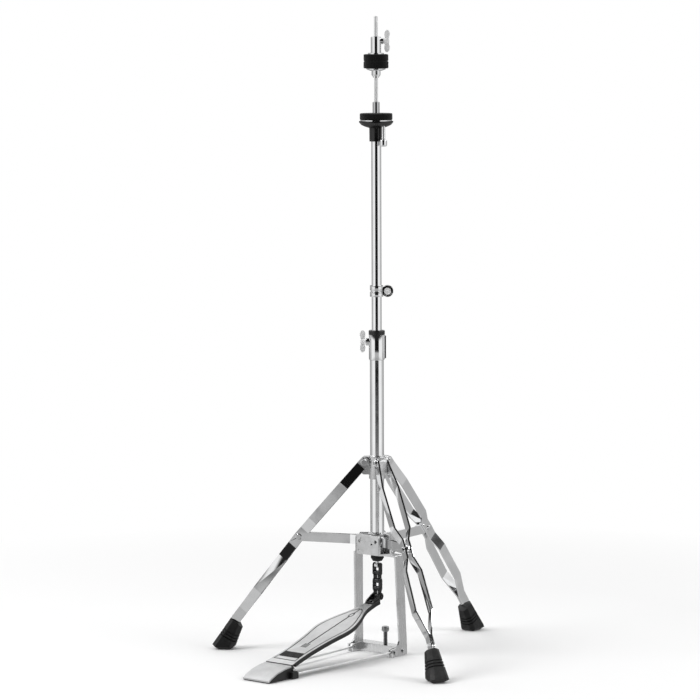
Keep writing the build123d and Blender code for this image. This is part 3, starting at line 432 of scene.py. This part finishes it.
def thread(name, x, y, low, high, radius, pitch, depth, material, body):
    """The crest of a screw thread: a V ridge wound round a shank."""
    steps = 28
    turns = (high - low) / pitch

    def build(shape):
        rows = []
        for step in range(int(turns * steps) + 1):
            angle = 2 * math.pi * step / steps
            height = low + pitch * step / steps
            row = []
            for out, up in ((-0.1 * MM, -0.42 * pitch), (depth, 0.0), (-0.1 * MM, 0.42 * pitch)):
                distance = radius + out
                across = (x + distance * math.cos(angle), y + distance * math.sin(angle))
                row.append(shape.verts.new((*across, height + up)))
            rows.append(row)
        for before, after in zip(rows, rows[1:]):
            for k in range(3):
                shape.faces.new((before[k], before[(k + 1) % 3], after[(k + 1) % 3], after[k]))
        shape.faces.new(rows[0][::-1])
        shape.faces.new(rows[-1])

    return mesh_piece(name, build, material, body)


def set_threads():
    low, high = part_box("anchor_bolt")
    x, y = (low.x + high.x) / 2, (low.y + high.y) / 2
    span = (low.z + 2.2 * MM, high.z - 9.6 * MM)
    thread("anchor_thread", x, y, *span, 3.0 * MM, 1.25 * MM, 0.35 * MM, "chain_steel", "anchor_bolt")
    low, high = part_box("tilt_screw")
    x, y = (low.x + high.x) / 2, (low.y + high.y) / 2
    span = (low.z + 12.6 * MM, high.z - 11.5 * MM)
    thread("tilt_thread", x, y, *span, 3.0 * MM, 1.0 * MM, 0.05 * MM, "chrome_small", "tilt_screw")


set_felts()
set_threads()

# ---------------------------------------------------------------- camera, light and floor

CAMERA_PLACE = (3.411, -4.242, 1.0698)
CAMERA_HEADING = 39.255
CAMERA_DOWN = 6.059
CAMERA_ROLL = -0.21
CAMERA_LENS = 175.56
FLOOR_RADIUS = 1.5


def set_camera():
    data = bpy.data.cameras.new("camera")
    data.lens = CAMERA_LENS
    data.clip_start = 0.1
    data.clip_end = 60.0
    camera = bpy.data.objects.new("camera", data)
    turn = Euler((math.radians(90.0 - CAMERA_DOWN), 0.0, math.radians(CAMERA_HEADING))).to_matrix()
    roll = Matrix.Rotation(math.radians(CAMERA_ROLL), 3, "Z")
    camera.matrix_world = Matrix.LocRotScale(Vector(CAMERA_PLACE), (turn @ roll).to_quaternion(), None)
    bpy.context.scene.collection.objects.link(camera)
    bpy.context.scene.camera = camera


# Studio levels by angle from straight behind the stand (0) to the camera side (180), from the
# floor up. Each RISE is the pair of elevations over which the next levels take over.
FLOOR_LEVELS = ((0, 0.12), (30, 0.4), (100, 0.85), (140, 0.6), (160, 0.38), (180, 0.38))
LOW_LEVELS = (
    (0, 0.05), (28, 0.05), (44, 0.36), (90, 0.5),
    (102, 1.0), (146, 1.0), (154, 0.52), (180, 0.52),
)
MID_LEVELS = (
    (0, 0.05), (22, 0.05), (36, 0.42), (90, 0.6),
    (102, 1.0), (146, 1.0), (154, 0.008), (180, 0.008),
)
HIGH_LEVELS = ((0, 1.2), (60, 1.2), (84, 0.02), (180, 0.02))
LOW_RISE = (-19.0, -13.0)
MID_RISE = (-9.2, -6.8)
HIGH_RISE = (7.0, 13.0)


def set_studio():
    """White to the eye, with reflections of a pale floor, bright sides and a dark camera side."""
    world = bpy.data.worlds.new("studio")
    bpy.context.scene.world = world
    world.use_nodes = True
    tree = world.node_tree
    tree.nodes.clear()
    link = tree.links.new

    def math_node(operation, *sources):
        made = tree.nodes.new("ShaderNodeMath")
        made.operation = operation
        for socket, source in zip(made.inputs, sources):
            if isinstance(source, float):
                socket.default_value = source
            else:
                link(source, socket)
        return made.outputs["Value"]

    def levels(share, stops):
        ramp = tree.nodes.new("ShaderNodeValToRGB")
        ramp.color_ramp.interpolation = "EASE"
        elements = ramp.color_ramp.elements
        while len(elements) < len(stops):
            elements.new(0.5)
        for element, (degrees, level) in zip(elements, stops):
            element.position = degrees / 180
            element.color = (level, level, level, 1.0)
        link(share, ramp.inputs["Fac"])
        return ramp.outputs["Color"]

    def blend(share, first, second):
        mix = tree.nodes.new("ShaderNodeMix")
        mix.data_type = "RGBA"
        link(share, mix.inputs["Factor"])
        link(first, mix.inputs[6])
        link(second, mix.inputs[7])
        return mix.outputs[2]

    def rising(source, low, high):
        """0 where the elevation's sine is under low degrees, 1 over high degrees."""
        ranged = tree.nodes.new("ShaderNodeMapRange")
        ranged.interpolation_type = "SMOOTHSTEP"
        ranged.inputs["From Min"].default_value = math.sin(math.radians(low))
        ranged.inputs["From Max"].default_value = math.sin(math.radians(high))
        link(source, ranged.inputs["Value"])
        return ranged.outputs["Result"]

    coordinates = tree.nodes.new("ShaderNodeTexCoord")
    turned = tree.nodes.new("ShaderNodeMapping")
    turned.inputs["Rotation"].default_value = (0.0, 0.0, math.radians(-CAMERA_HEADING))
    link(coordinates.outputs["Generated"], turned.inputs["Vector"])
    parts = tree.nodes.new("ShaderNodeSeparateXYZ")
    link(turned.outputs["Vector"], parts.inputs["Vector"])
    angle = math_node("ABSOLUTE", math_node("ARCTAN2", parts.outputs["X"], parts.outputs["Y"]))
    share = math_node("DIVIDE", angle, math.pi)
    colour = levels(share, FLOOR_LEVELS)
    for stops, rise in ((LOW_LEVELS, LOW_RISE), (MID_LEVELS, MID_RISE), (HIGH_LEVELS, HIGH_RISE)):
        colour = blend(rising(parts.outputs["Z"], *rise), colour, levels(share, stops))
    room = tree.nodes.new("ShaderNodeBackground")
    link(colour, room.inputs["Color"])
    seen = tree.nodes.new("ShaderNodeBackground")
    seen.inputs["Color"].default_value = (1.0, 1.0, 1.0, 1.0)
    rays = tree.nodes.new("ShaderNodeLightPath")
    choice = tree.nodes.new("ShaderNodeMixShader")
    link(rays.outputs["Is Camera Ray"], choice.inputs["Fac"])
    link(room.outputs["Background"], choice.inputs[1])
    link(seen.outputs["Background"], choice.inputs[2])
    output = tree.nodes.new("ShaderNodeOutputWorld")
    link(choice.outputs["Shader"], output.inputs["Surface"])


def area_light(name, place, aim, size, power):
    data = bpy.data.lights.new(name, "AREA")
    data.shape = "RECTANGLE"
    data.size, data.size_y = size
    data.energy = power
    light = bpy.data.objects.new(name, data)
    towards = Vector(aim) - Vector(place)
    light.matrix_world = Matrix.LocRotScale(Vector(place), towards.to_track_quat("-Z", "Y"), None)
    bpy.context.scene.collection.objects.link(light)


def set_floor():
    """A pale disc that catches the shadows near the stand and fades out into the white room."""
    mesh = bpy.data.meshes.new("floor")
    disc = bmesh.new()
    bmesh.ops.create_circle(disc, cap_ends=True, segments=128, radius=FLOOR_RADIUS)
    disc.to_mesh(mesh)
    disc.free()
    floor = bpy.data.objects.new("floor", mesh)
    floor.location.z = cad_low.z - 0.0005
    floor.visible_glossy = False
    bpy.context.scene.collection.objects.link(floor)
    paint = Shader("floor_paint", grey(0.9), roughness=0.9)
    paint.bump(paint.noise(60.0), 0.0002, 0.2)
    distance = paint.node("ShaderNodeVectorMath", operation="LENGTH")
    paint.link(paint.place(), distance.inputs[0])
    fade = paint.span(distance.outputs["Value"], 0.45 * FLOOR_RADIUS, 0.9 * FLOOR_RADIUS)
    white = paint.node("ShaderNodeEmission")
    mix = paint.node("ShaderNodeMixShader")
    paint.link(fade, mix.inputs["Fac"])
    paint.link(paint.bsdf.outputs["BSDF"], mix.inputs[1])
    paint.link(white.outputs["Emission"], mix.inputs[2])
    paint.link(mix.outputs["Shader"], paint.tree.nodes["Material Output"].inputs["Surface"])
    mesh.materials.append(paint.material)


set_camera()
set_studio()
set_floor()
area_light("key", (-1.6, -2.4, 3.4), (0.0, 0.0, 0.4), (2.4, 2.4), 120.0)
area_light("fill", (3.0, 1.2, 2.6), (0.0, 0.0, 0.4), (2.0, 2.0), 60.0)
bpy.context.scene.view_settings.view_transform = "Standard"
